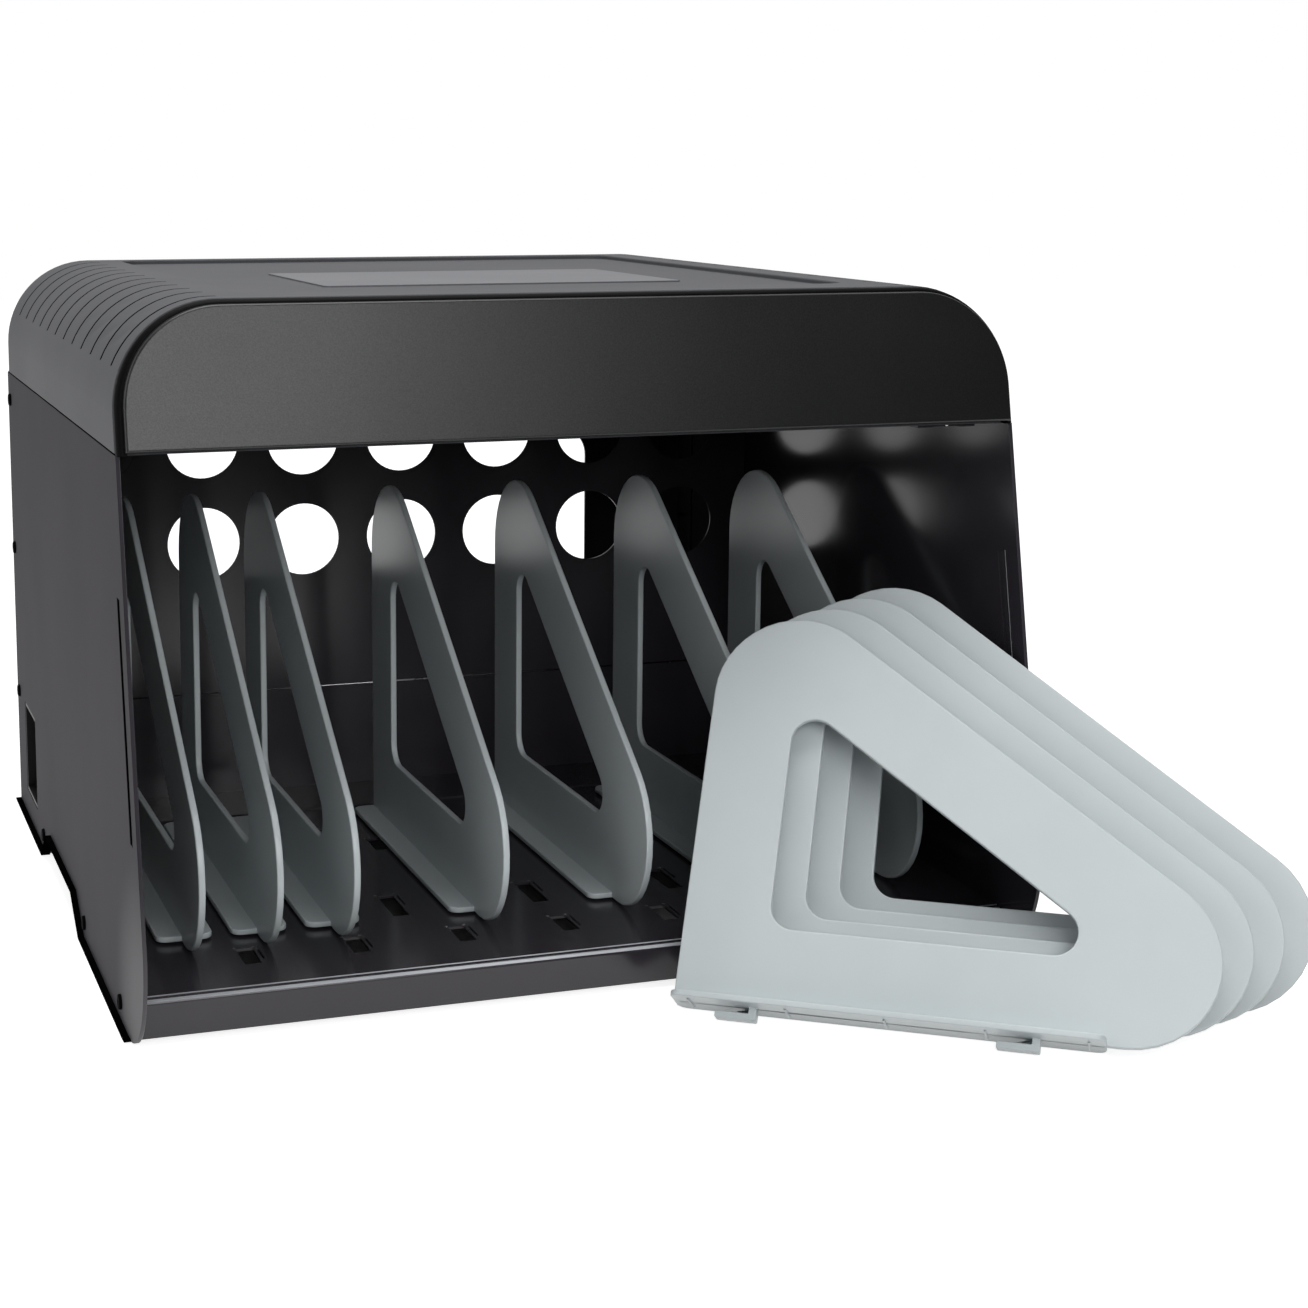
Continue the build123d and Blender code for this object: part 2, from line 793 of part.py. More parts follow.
def usb_ports():
    """Port shells with their tongues, one for each tablet."""
    top = bay_pan_top + hub_height
    low = top - port_sink
    ports = []
    for x, y in port_places():
        half_x, half_y = port_width / 2, port_depth / 2
        shell = block(x - half_x, x + half_x, y - half_y, y + half_y, low, top)
        shell -= block(x - half_x + port_wall, x + half_x - port_wall, y - half_y + port_wall,
                       y + half_y - port_wall, low + port_wall, top + overrun)
        shell += block(x - half_x + 2 * port_wall, x + half_x - 2 * port_wall, y, y + port_tongue,
                       low, top - port_wall)
        ports.append(shell)
    return ports


def power_supply():
    """Steel-cased power supply with a grille of slots in its lid."""
    z = bay_pan_top
    case = block(supply_left, supply_left + supply_length, supply_front,
                 supply_front + supply_depth, z, z + supply_height)
    case = fillet(case.edges().filter_by(Axis.Z), supply_round)
    mid_x = supply_left + supply_length / 2
    mid_y = supply_front + supply_depth / 2
    for i in range(grille_count):
        x = mid_x + (i - (grille_count - 1) / 2) * grille_pitch
        case -= block(x - grille_width / 2, x + grille_width / 2,
                      mid_y - grille_length / 2, mid_y + grille_length / 2,
                      z + supply_height - grille_depth, z + supply_height + overrun)
    return case


def all_nodes():
    """Every node by name, in the cabinet's frame."""
    nodes = {
        "left_side_panel": side_panel(-1),
        "right_side_panel": side_panel(1),
        "side_screws": side_screws(),
        "left_foot_strip": foot_strip(-1),
        "right_foot_strip": foot_strip(1),
        "inlet_housing": inlet_housing(),
        "inlet_socket": inlet_socket(),
        "inlet_pins": inlet_pins(),
        "rocker_switch": rocker_switch(),
        "floor_pan": floor_pan(),
        "upper_partition": upper_partition(),
        "lower_partition": lower_partition(),
        "rear_wall": rear_wall(),
        "corner_angles": corner_angles(),
        "rear_screws": rear_screws(),
        "bay_pan": bay_pan(),
        "ceiling_sheet": ceiling_sheet(),
        "front_rail": front_rail(),
        "lock_keeper": lock_keeper(),
        "top_cover": top_cover(),
        "label_plate": label_plate(),
        "fascia_trim": fascia_trim(),
        "fascia": fascia(),
        "charging_hub": charging_hub(),
        "usb_ports": usb_ports(),
        "power_supply": power_supply(),
    }
    for number, slot in enumerate(seated_slots, start=1):
        nodes["seated_divider_%d" % number] = seated_divider(slot)
    for i in range(loose_count):
        nodes["loose_divider_%d" % (i + 1)] = loose_divider(i)
    return nodes


def solids_of(piece):
    """List of the solids in a node."""
    return [part.solid() for part in piece] if isinstance(piece, list) else [piece.solid()]


nodes = {name: solids_of(piece) for name, piece in all_nodes().items()}
boxes = [solid.bounding_box() for solids in nodes.values() for solid in solids]
low_x, high_x = min(b.min.X for b in boxes), max(b.max.X for b in boxes)
low_y, high_y = min(b.min.Y for b in boxes), max(b.max.Y for b in boxes)
shift = Pos(-(low_x + high_x) / 2, -(low_y + high_y) / 2, 0)
for name, solids in nodes.items():
    moved = [shift * solid for solid in solids]
    export_step(moved[0] if len(moved) == 1 else Compound(moved), "parts/%s.step" % name)
print("set measures", round(high_x - low_x, 2), "by", round(high_y - low_y, 2), "by", height)
print("cabinet frame origin lies at", round(-(low_x + high_x) / 2, 4), round(-(low_y + high_y) / 2, 4))
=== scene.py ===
# %% [markdown]
# A charging cabinet for tablets, with its dividers.
# The model comes packed from CAD, in metres, with every moving piece on its own body.
# This lesson dresses that model: it gives each sheet, moulding and screw its real finish, rebuilds the
# dividers with the soft edges that a mould leaves, and lights the set as a studio would.

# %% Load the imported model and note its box
import json
from math import cos, radians, sin, tan

import bpy
import numpy as np
from mathutils import Matrix, Vector


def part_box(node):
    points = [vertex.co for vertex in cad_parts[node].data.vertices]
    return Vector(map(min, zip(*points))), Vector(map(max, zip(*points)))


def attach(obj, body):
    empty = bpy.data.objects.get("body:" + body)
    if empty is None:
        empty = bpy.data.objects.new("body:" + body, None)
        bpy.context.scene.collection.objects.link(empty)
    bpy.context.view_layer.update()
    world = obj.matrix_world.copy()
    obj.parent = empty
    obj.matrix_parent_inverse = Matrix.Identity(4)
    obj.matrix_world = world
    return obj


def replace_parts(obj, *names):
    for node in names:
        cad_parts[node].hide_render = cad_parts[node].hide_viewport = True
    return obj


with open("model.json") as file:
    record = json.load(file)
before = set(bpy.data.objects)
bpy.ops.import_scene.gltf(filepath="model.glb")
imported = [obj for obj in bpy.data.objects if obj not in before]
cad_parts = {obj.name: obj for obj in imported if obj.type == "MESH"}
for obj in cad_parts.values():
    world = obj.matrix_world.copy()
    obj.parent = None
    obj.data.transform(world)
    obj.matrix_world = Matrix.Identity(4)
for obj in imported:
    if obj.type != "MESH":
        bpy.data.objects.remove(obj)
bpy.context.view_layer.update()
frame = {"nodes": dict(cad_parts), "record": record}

nodes = frame["nodes"]

# %% [markdown]
# The cabinet was drawn in its own frame, in millimetres: X across from its middle, Y from the front edge
# to the rear, Z up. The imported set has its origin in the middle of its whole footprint.
# The shift between the two is measured from nodes whose place in the drawing is known, so that every
# later size can be written down as a maker would say it.

# %% From the cabinet's millimetres to the scene's metres
MM = 0.001
half_width, depth, height, side_top = 240.0, 513.0, 363.0, 290.0
cover_low, cover_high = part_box("top_cover")
panel_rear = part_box("left_side_panel")[1].y
shift = np.array([(cover_low.x + cover_high.x) / 2, panel_rear - depth * MM, 0.0])


def metres(points):
    """Cabinet millimetres to scene metres: times 0.001, then moved by the shift."""
    return np.asarray(points, float) * MM + shift


print("the drawing's origin lies at", np.round(shift / MM, 3), "mm")

# %% [markdown]
# Meshes here are worked out as whole arrays. A shape is a grid of points, rows along one parameter and
# columns along another, and its faces follow from the grid alone. It could also be modelled by hand, but
# then a changed size would mean modelling it again.

# %% The faces of a grid


def grid_faces(rows, columns):
    """Quads (i, j), (i + 1, j), (i + 1, j + 1), (i, j + 1) of a grid that closes on itself both ways."""
    i, j = np.meshgrid(np.arange(rows), np.arange(columns), indexing="ij")
    k, m = (i + 1) % rows, (j + 1) % columns
    quads = [i * columns + j, k * columns + j, k * columns + m, i * columns + m]
    return np.stack(quads, -1).reshape(-1, 4)


print("a grid of 3 by 4 points has", len(grid_faces(3, 4)), "faces")

# %% [markdown]
# The faces of a closed shape point outwards when the volume that they enclose is above zero. That volume is
# measured, and the faces are turned over if need be, because a face seen from its back shades wrongly.

# %% Turn the faces of a closed shape outwards


def signed_volume(points, faces):
    """Sum over the triangles of a . (b x c) / 6, with each face cut into a fan."""
    total = 0.0
    for face in faces:
        first, fan = points[face[0]], points[np.asarray(face[1:])]
        total += float((np.cross(fan[:-1], fan[1:]) @ first).sum())
    return total / 6


def outward(points, faces):
    """The same faces, turned over if they enclose a negative volume."""
    faces = [list(map(int, face)) for face in faces]
    return faces if signed_volume(points, faces) > 0 else [face[::-1] for face in faces]


print("a corner cut off a unit cube has volume", round(signed_volume(np.eye(3), [(0, 1, 2)]), 4))

# %% [markdown]
# A piece is often several closed shapes in one mesh, such as a plate and its ribs. A boolean could melt them
# together, but it would cut many small faces where they overlap, and nobody sees that. Each piece rides the
# body that carries it, so that it moves when that body does.

# %% From shapes to a piece that rides its body


def joined(shapes):
    """Several (points, faces) as one, each one's indices raised by the points that come before it."""
    points, faces, start = [], [], 0
    for part_points, part_faces in shapes:
        points.append(part_points)
        faces += [[index + start for index in face] for face in part_faces]
        start += len(part_points)
    return np.concatenate(points), faces


def piece(name, shapes, material, body):
    """A smooth-shaded object from shapes in cabinet millimetres, with its material, riding a body."""
    points, faces = joined(shapes)
    mesh = bpy.data.meshes.new(name)
    mesh.from_pydata(metres(points).tolist(), [], faces)
    mesh.polygons.foreach_set("use_smooth", np.ones(len(mesh.polygons), bool))
    mesh.materials.append(material)
    mesh.update()
    thing = bpy.data.objects.new(name, mesh)
    bpy.context.scene.collection.objects.link(thing)
    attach(thing, body)
    return thing


print("mesh helpers made")

# %% [markdown]
# Real finishes are never one flat colour. Each one here is cloudy, over a hand's width on a panel and over a
# few millimetres on a screw, has a grain that is as coarse as the real one, and has edges that are slightly
# round. The colour values are the ones a colour picker would give, so one function turns them into the
# linear light that the shader works in.

# %% Colour values and shader nodes


def linear(value):
    """An sRGB hex value as linear RGBA: c / 12.92 up to 0.04045, else ((c + 0.055) / 1.055) ** 2.4."""
    c = np.array([int(value[k:k + 2], 16) for k in (1, 3, 5)]) / 255
    c = np.where(c <= 0.04045, c / 12.92, ((c + 0.055) / 1.055) ** 2.4)
    return (*c.tolist(), 1.0)


def add(tree, kind, settings=None, inputs=None):
    """One node with its settings, and its inputs as values or as the sockets that feed them."""
    node = tree.nodes.new(kind)
    for key, value in (settings or {}).items():
        setattr(node, key, value)
    for key, value in (inputs or {}).items():
        if isinstance(value, bpy.types.NodeSocket):
            tree.links.new(value, node.inputs[key])
        else:
            node.inputs[key].default_value = value
    return node


print("mid grey #808080 is", round(linear("#808080")[0], 3), "in linear light")

# %% [markdown]
# A side panel has two unlike faces. The inner one mirrors the dividers softly. The outer one is coarser and
# scatters the light, and it shines more at the toe, the rounded foot of its front edge: a painted sheen,
# its specular level raised there for a pool of light. One material does both, so that the panel stays one
# piece: the outer face is told by its distance from the cabinet's middle plane, and the painted sheen by its
# distance from the toe.

# %% Roughness and shine of a side panel's outer face
side_sheet, skin_margin, skin_ramp = 2.0, 0.05, 0.3 * MM
skin = (half_width - side_sheet + skin_margin) * MM
# The toe's raised specular level is a painted sheen for a pool of light: full within 20 mm of the toe, gone
# beyond 90 mm.
toe_middle, toe_sheen_full, toe_sheen_gone = (0.0, 5.0, 15.0), 20.0 * MM, 90.0 * MM


def outer_face(tree, place, inner_rough, inner_shine, outer):
    """Roughness and specular level that pass from the inner values to the outer face's over the skin's ramp.

    Outer holds the face's roughness, its specular level, and its specular level at the toe, a painted sheen.
    The last two blend with the distance d from the toe in the side's plane: d = hypot(y - toe y, z - toe z).
    """
    rough, face_shine, toe_shine = outer
    across = add(tree, "ShaderNodeSeparateXYZ", {}, {0: place})
    middle_x = float(shift[0])
    across = add(tree, "ShaderNodeMath", {"operation": "SUBTRACT"}, {0: across.outputs["X"], 1: middle_x})
    across = add(tree, "ShaderNodeMath", {"operation": "ABSOLUTE"}, {0: across.outputs[0]})
    in_plane = add(tree, "ShaderNodeVectorMath", {"operation": "MULTIPLY"}, {0: place, 1: (0.0, 1.0, 1.0)})
    toe = (0.0, *metres(toe_middle)[1:])
    away = add(tree, "ShaderNodeVectorMath", {"operation": "DISTANCE"}, {0: in_plane.outputs[0], 1: toe})
    toe_sheen = add(tree, "ShaderNodeMapRange", {"interpolation_type": "SMOOTHSTEP"},
                 {0: away.outputs["Value"], 1: toe_sheen_full, 2: toe_sheen_gone, 3: toe_shine, 4: face_shine})
    return [add(tree, "ShaderNodeMapRange", {},
                {0: across.outputs[0], 1: skin, 2: skin + skin_ramp, 3: inside, 4: outside}).outputs[0]
            for inside, outside in ((inner_rough, rough), (inner_shine, toe_sheen.outputs[0]))]


print("outer faces start", round(skin / MM, 2), "mm from the middle plane")

# %% [markdown]
# Every solid finish is then one recipe with its own numbers. Coarse noise moves the colour and the
# roughness, finer noise lifts the surface, and the Bevel node rounds the shading at each edge.

# %% The recipe of a solid finish
noise_low, noise_high = 0.35, 0.65


def finish(name, dark, light, cloud_mm, rough, grain_mm, grain_depth_mm, edge_mm, metallic=0.0, specular=0.5,
           outer=None, specks=0.0):
    """Clouds between two colours and two roughnesses, a fine grain, and rounded edges.

    Outer is what outer_face takes. Specks is the share by which the grain's peaks shine more, and its
    hollows less: shine = specular * (1 - specks) to specular * (1 + specks).
    """
    material = bpy.data.materials.new(name)
    material.use_nodes = True
    tree = material.node_tree
    tree.nodes.clear()
    place = add(tree, "ShaderNodeTexCoord").outputs["Object"]
    clouds, grain = (
        add(tree, "ShaderNodeTexNoise", {}, {"Vector": place, "Scale": 1 / (size * MM), "Detail": detail})
        for size, detail in ((cloud_mm, 4.0), (grain_mm, 2.0)))
    spread = add(tree, "ShaderNodeMapRange", {}, {0: clouds.outputs[0], 1: noise_low, 2: noise_high})
    colour = add(tree, "ShaderNodeMix", {"data_type": "RGBA"},
                 {0: spread.outputs[0], 6: linear(dark), 7: linear(light)})
    wear = add(tree, "ShaderNodeMapRange", {},
               {0: clouds.outputs[0], 1: noise_low, 2: noise_high, 3: rough[0], 4: rough[1]})
    rough_now, shine = wear.outputs[0], specular
    if specks:
        shine = add(tree, "ShaderNodeMapRange", {},
                    {0: grain.outputs[0], 1: noise_low, 2: noise_high, 3: specular * (1 - specks),
                     4: specular * (1 + specks)}).outputs[0]
    if outer:
        rough_now, shine = outer_face(tree, place, rough_now, shine, outer)
    soft = add(tree, "ShaderNodeBevel", {"samples": 4}, {"Radius": edge_mm * MM})
    bump = add(tree, "ShaderNodeBump", {}, {"Height": grain.outputs[0], "Distance": grain_depth_mm * MM,
                                            "Strength": 1.0, "Normal": soft.outputs[0]})
    shader = add(tree, "ShaderNodeBsdfPrincipled", {}, {
        "Base Color": colour.outputs[2], "Roughness": rough_now, "Normal": bump.outputs[0],
        "Metallic": metallic, "Specular IOR Level": shine})
    add(tree, "ShaderNodeOutputMaterial", {}, {"Surface": shader.outputs[0]})
    return material


print("noise from", noise_low, "to", noise_high, "spans a finish from its dark end to its light one")

# %% [markdown]
# The cabinet is folded steel with a black powder coat. Powder is sprayed on dry and baked, and it melts
# into a satin skin with a faint orange peel, about a millimetre from dimple to dimple. It looks near black
# in the shade and dark grey where a lamp grazes it.

# %% Finishes of the steel
coat_dark, coat_light = "#2b282d", "#322f35"
powder_coat = finish("powder_coated_steel", coat_dark, coat_light, 120, (0.18, 0.22), 1.1, 0.002, 0.45)
# The outer face's specular level of 1.0 at the toe is a painted sheen.
side_coat = finish("powder_coated_steel_side", coat_dark, coat_light, 120, (0.13, 0.17), 1.1, 0.001, 0.45,
                   outer=(0.72, 0.18, 1.0))
# Zinc plating is a pale grey metal, cloudy at the size of a thumb, and blurs what it mirrors.
zinc = finish("zinc_plated_sheet", "#a9abad", "#bfc1c3", 14, (0.28, 0.45), 1.5, 0.006, 0.4, metallic=1.0)
# Nickel plating is a warmer, sharper mirror, so a rivet shows as a bright dot.
nickel = finish("nickel_plated_contact", "#c3c1bb", "#d3d1ca", 8, (0.2, 0.3), 0.7, 0.003, 0.1, metallic=1.0)
print("steel finishes made")

# %% [markdown]
# Rubber, the black sheets of painted shade and black oxide swallow light. Seen along their surface even a
# weak shine would turn them grey, so theirs is at or near nothing.

# %% Finishes of the rubber, the painted shade and the screws
# Moulded rubber is a dead black with a coarse matt grain.
rubber = finish("moulded_rubber", "#050506", "#0a0a0b", 30, (0.80, 0.90), 0.9, 0.03, 0.3, specular=0.0)
# The black sheets of painted shade are blacker still. They stand in for the shade in the vents, the step under
# the cover and the side slits.
painted_shade_black = finish("painted_shade_black_sheet", "#030304", "#060607", 30, (0.90, 0.95), 0.6, 0.05, 0.1, specular=0.0)
# Black oxide is a thin matt film on the steel, so a screw reads as a black dot.
screw_black = finish("black_oxide_screw", "#060607", "#0b0b0c", 6, (0.7, 0.8), 0.8, 0.01, 0.2, specular=0.02)
print("rubber, cloth and screw finishes made")

# %% [markdown]
# The cover, the fascia and the dividers are injection moulded. The cover has a satin skin. The fascia is
# grained by etching its mould, which leaves specks that catch the lamp one by one. The dividers are a cool
# light grey with a fine matt skin.

# %% Finishes of the mouldings
cover_skin = finish("satin_moulded_abs", "#3b3c40", "#414246", 160, (0.60, 0.68), 0.9, 0.010, 0.5)
fascia_skin = finish("grained_moulded_abs", "#0e0e0f", "#121213", 160, (0.31, 0.35), 0.7, 0.015, 0.4,
                     specks=0.12)
divider_skin = finish("matt_moulded_polypropylene", "#bfc7c9", "#c6ced0", 140, (0.32, 0.38), 1.0, 0.003, 0.3)
# Moulded nylon is black with a soft shine that shows the shape of the inlet.
black_moulding = finish("black_moulded_nylon", "#060607", "#0a0a0b", 60, (0.42, 0.5), 0.9, 0.006, 0.4,
                        specular=0.25)
# The trim is duller, and draws a plain black line round the fascia.
trim_black = finish("black_moulded_trim", "#060607", "#09090a", 60, (0.45, 0.55), 0.9, 0.004, 0.4,
                    specular=0.06)
# The rocker is polished, so the lamps show on it as small sharp lights.
rocker_gloss = finish("polished_moulded_nylon", "#131314", "#19191a", 20, (0.18, 0.24), 2.0, 0.003, 0.3)
# The label plate is a plain satin film, lighter than the cover that it lies on.
label_film = finish("satin_polyester_film", "#5f6064", "#66676b", 90, (0.50, 0.58), 1.2, 0.004, 0.3)
print("moulded finishes made")

# %% [markdown]
# Two finishes are painted highlights on the steel: bare pale metal on the partition's seam bead, which
# mirrors the lamp as a highlight line, and a pale coat on the floor's lip and the right slit's edge, where
# thin light lines fall.

# %% Finishes of painted highlights
# Bare pale metal on the seam bead: a painted highlight line that mirrors the front lamp.
seam_light = finish("seam_highlight_bare_metal", "#b4b3b7", "#bfbec2", 60, (0.22, 0.30), 0.9, 0.002, 0.2,
                    metallic=1.0)
# A pale coat on the lip and the slit's edge: painted highlights.
pale_highlight = finish("painted_highlight_pale_coat", "#b9bcc2", "#c6c9ce", 40, (0.28, 0.36), 1.1, 0.002, 0.1)
print("worn finishes made")

# %% [markdown]
# The record says which finish each node takes, by the name of a slot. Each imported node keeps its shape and
# gets the finish of its slot, apart from three whose finish is a variant of it.

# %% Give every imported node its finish
finish_of_slot = {
    "black_powder_coat": powder_coat, "black_rubber": rubber, "black_screw": screw_black,
    "black_plastic": black_moulding, "rocker_plastic": rocker_gloss, "plated_contact": nickel,
    "cover_plastic": cover_skin, "label_film": label_film, "fascia_plastic": fascia_skin,
    "zinc_steel": zinc, "divider_plastic": divider_skin,
}
finish_of_node = {"left_side_panel": side_coat, "right_side_panel": side_coat, "fascia_trim": trim_black}
slot_of_node = {row["node"]: row["material_slot"] for row in frame["record"]["subparts"]}
for name, node in nodes.items():
    node.data.materials.clear()
    node.data.materials.append(finish_of_node.get(name, finish_of_slot[slot_of_node[name]]))
print("nodes given a finish:", len(nodes))

# %% [markdown]
# A divider is a triangular plate with a window, on a flange with ribs and two hooks. In CAD its edges are
# sharp, but a mould rounds them, and that round is what draws the light line round each plate. A Bevel
# modifier would struggle where the window's arcs meet its sides, so the plate is worked out instead.
# It starts from outlines: every corner is an arc that touches both its sides.

# %% Outlines with rounded corners


def rounded_outline(corners, radii, arc_steps, run_steps):
    """Points and outward normals along a polygon whose corners are arcs.

    Each arc starts r / tan(half the corner's angle) before the corner; its centre lies on the bisector at
    r / sin(half the angle). The runs between the arcs are cut into equal steps.
    """
    corners = np.asarray(corners, float)
    back, ahead = np.roll(corners, 1, 0) - corners, np.roll(corners, -1, 0) - corners
    following = np.roll(corners, -1, 0)
    area = np.sum(corners[:, 0] * following[:, 1] - following[:, 0] * corners[:, 1]) / 2
    starts, ends, arcs = [], [], []
    for corner, a, b, radius in zip(corners, back, ahead, radii):
        a, b = a / np.linalg.norm(a), b / np.linalg.norm(b)
        half = np.arccos(np.clip(a @ b, -1, 1)) / 2
        middle = (a + b) / np.linalg.norm(a + b)
        centre = corner + middle * radius / np.sin(half)
        start, end = corner + a * radius / np.tan(half), corner + b * radius / np.tan(half)
        angle0, angle1 = (np.arctan2(*(p - centre)[::-1]) for p in (start, end))
        turn = (angle1 - angle0 + np.pi) % (2 * np.pi) - np.pi
        angles = angle0 + turn * np.linspace(0, 1, arc_steps + 1)
        rays = np.stack([np.cos(angles), np.sin(angles)], -1)
        arcs.append((centre + radius * rays, rays * np.sign(turn) * np.sign(area)))
        starts.append(start)
        ends.append(end)
    points, normals = [], []
    for i, (arc, rays) in enumerate(arcs):
        nearer = np.linspace(0, 1, run_steps + 1)[1:-1, None]
        run = ends[i] + (starts[(i + 1) % len(arcs)] - ends[i]) * nearer
        points += [arc, run]
        normals += [rays, np.repeat(rays[-1:], len(run), 0)]
    return np.concatenate(points), np.concatenate(normals)


def box_outline(a0, a1, b0, b1, radius, arc_steps=4, run_steps=2):
    """Rounded rectangle from (a0, b0) to (a1, b1)."""
    return rounded_outline([(a0, b0), (a1, b0), (a1, b1), (a0, b1)], [radius] * 4, arc_steps, run_steps)


print("outline of a square has", len(box_outline(0, 4, 0, 4, 1)[0]), "points")

# %% [markdown]
# A profile is then carried along the outlines. The plate is a ring: its outer outline and its window's have
# the same number of points, and the profile goes over the outer edge and back over the inner one. A slab is
# simpler: the profile goes over one edge, and each end is closed by one flat face.

# %% Rings and slabs with rounded edges


def edge_profile(thick, edge, steps=3, margin=0.4):
    """Half profile over one edge, as (how far in from the outline, place across the thickness).

    A quarter circle of radius edge at both faces, the straight wall between, and one more point on each
    face a margin further in, which keeps the face's shading flat.
    """
    angles = np.linspace(0, np.pi / 2, steps + 1)
    inward = edge * (1 - np.cos(angles))
    across = thick / 2 - edge * (1 - np.sin(angles))
    inward = np.concatenate([[edge + margin], inward[::-1], inward, [edge + margin]])
    across = np.concatenate([[thick / 2], across[::-1], -across, [-thick / 2]])
    return inward, across


def ring_plate(outer, inner, thick, edge):
    """Closed ring across X: u runs along the outlines, v over the outer edge and back over the inner."""
    inward, across = edge_profile(thick, edge)
    outside = outer[0][:, None] - outer[1][:, None] * inward[None, :, None]
    inside = inner[0][:, None] + inner[1][:, None] * inward[None, ::-1, None]
    flat = np.concatenate([outside, inside], 1)
    over = np.broadcast_to(np.concatenate([across, across[::-1]]), flat.shape[:2])
    points = np.concatenate([over[..., None], flat], -1)
    rows, columns = points.shape[:2]
    points = points.reshape(-1, 3)
    return points, outward(points, grid_faces(rows, columns))


def slab(outline, low, high, edge, axes):
    """Closed slab: u runs along the outline, v over its edge, and each end is one flat face.

    Axes says which of x, y, z the outline's two parameters and the thickness go to.
    """
    inward, across = edge_profile(high - low, edge)
    flat = outline[0][:, None] - outline[1][:, None] * inward[None, :, None]
    over = np.broadcast_to(across + (low + high) / 2, flat.shape[:2])
    points = np.concatenate([flat, over[..., None]], -1)
    rows, columns = points.shape[:2]
    points = points.reshape(-1, 3)[:, np.argsort(axes)]
    sides = grid_faces(rows, columns).reshape(rows, columns, 4)[:, :-1].reshape(-1, 4)
    ends = [list(range(0, rows * columns, columns))[::-1], list(range(columns - 1, rows * columns, columns))]
    return points, outward(points, list(sides) + ends)


along_x, along_y, along_z = (1, 2, 0), (0, 2, 1), (0, 1, 2)
print("a slab of a square has", len(slab(box_outline(0, 4, 0, 4, 1), 0, 2, 0.5, along_z)[1]), "faces")

# %% [markdown]
# One divider stands upright with its rear bottom corner at the origin. The triangle is given by where its
# straight sides would meet: an apex above the rear edge, and a reach ahead along the base. The window is
# the same triangle, drawn in from all three sides.

# %% The divider's plate
apex, reach = 250.5, 361.0
plate_thick, plate_edge, plate_rounds = 3.6, 0.7, (3.0, 43.5, 43.8)
window_insets, window_round = (44.0, 42.0, 44.4), 12.0
slope = apex / reach
slant = np.hypot(1, slope)


def triangle(inset_rear, inset_base, inset_slope, radii):
    """Rounded triangle in (y, z), drawn in from its rear, base and sloping sides.

    The sloping side z = top + y * slope comes down by its inset times hypot(1, slope).
    """
    top = apex - inset_slope * slant
    corners = [(-inset_rear, inset_base), (-inset_rear, top - inset_rear * slope),
               (-(top - inset_base) / slope, inset_base)]
    return rounded_outline(corners, radii, 14, 10)


window = triangle(*window_insets, (window_round,) * 3)
shapes = [ring_plate(triangle(0, 0, 0, plate_rounds), window, plate_thick, plate_edge)]
print("plate:", len(shapes[0][0]), "points")

# %% [markdown]
# The flange is a rounded sole under the plate, the ribs are thin bars across the sole's underside, and each
# hook is an L below the sole that reaches back under the floor sheet. All three are slabs.

# %% The divider's flange, ribs and hooks
flange_half, flange_length, flange_thick, flange_round, flange_edge = 15.0, 213.0, 3.0, 6.0, 0.6
rib_first, rib_pitch, rib_count, rib_half, rib_reach, rib_low, rib_high = 9.0, 49.0, 5, 0.6, 9.0, -0.8, 1.0
hook_starts, hook_length, hook_half, hook_post = (22.2, 161.2), 21.0, 3.8, 4.0
hook_low, hook_high, hook_top, hook_edge = -6.5, -3.1, 1.5, 0.5
tip_round, inner_round, hidden_round = 0.9, 0.6, 0.3

flange = box_outline(-flange_half, flange_half, -flange_length, 0, flange_round, 8, 6)
shapes.append(slab(flange, 0.0, flange_thick, flange_edge, along_z))
for rib in range(rib_count):
    y = -(rib_first + rib_pitch * rib)
    rib_outline = box_outline(y - rib_half, y + rib_half, rib_low, rib_high, hidden_round)
    shapes.append(slab(rib_outline, -rib_reach, rib_reach, hidden_round, along_x))
for start in hook_starts:
    front = -(start + hook_length)
    corners = [(front, hook_low), (-start, hook_low), (-start, hook_high), (front + hook_post, hook_high),
               (front + hook_post, hook_top), (front, hook_top)]
    radii = [tip_round] * 3 + [inner_round] + [hidden_round] * 2
    shapes.append(slab(rounded_outline(corners, radii, 4, 2), -hook_half, hook_half, hook_edge, along_x))
divider_points, divider_faces = joined(shapes)
print("divider mesh:", len(divider_points), "points", len(divider_faces), "faces")

# %% [markdown]
# The same moulding is used eleven times. Seven stand in the floor slots, and take the place of the packed
# nodes, so that they ride along when a divider is slid forward.

# %% Place the seven seated dividers
slot_pitch, seated_slots = 40.0, (-5, -4, -3, -1, 1, 3, 5)
divider_rear, seat_height = 329.0, 25.1
for number, slot_number in enumerate(seated_slots, start=1):
    node = "seated_divider_%d" % number
    stood = divider_points + np.array([slot_number * slot_pitch, divider_rear, seat_height])
    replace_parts(piece(node + "_moulding", [(stood, divider_faces)], divider_skin, "seated_%d" % number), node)
print("seated dividers:", len(seated_slots))

# %% [markdown]
# The other four are turned and leaned back like shingles, each 2.5 degrees steeper than the one in front,
# and each stands on whichever is lower, its hooks or the far edge of its flange.

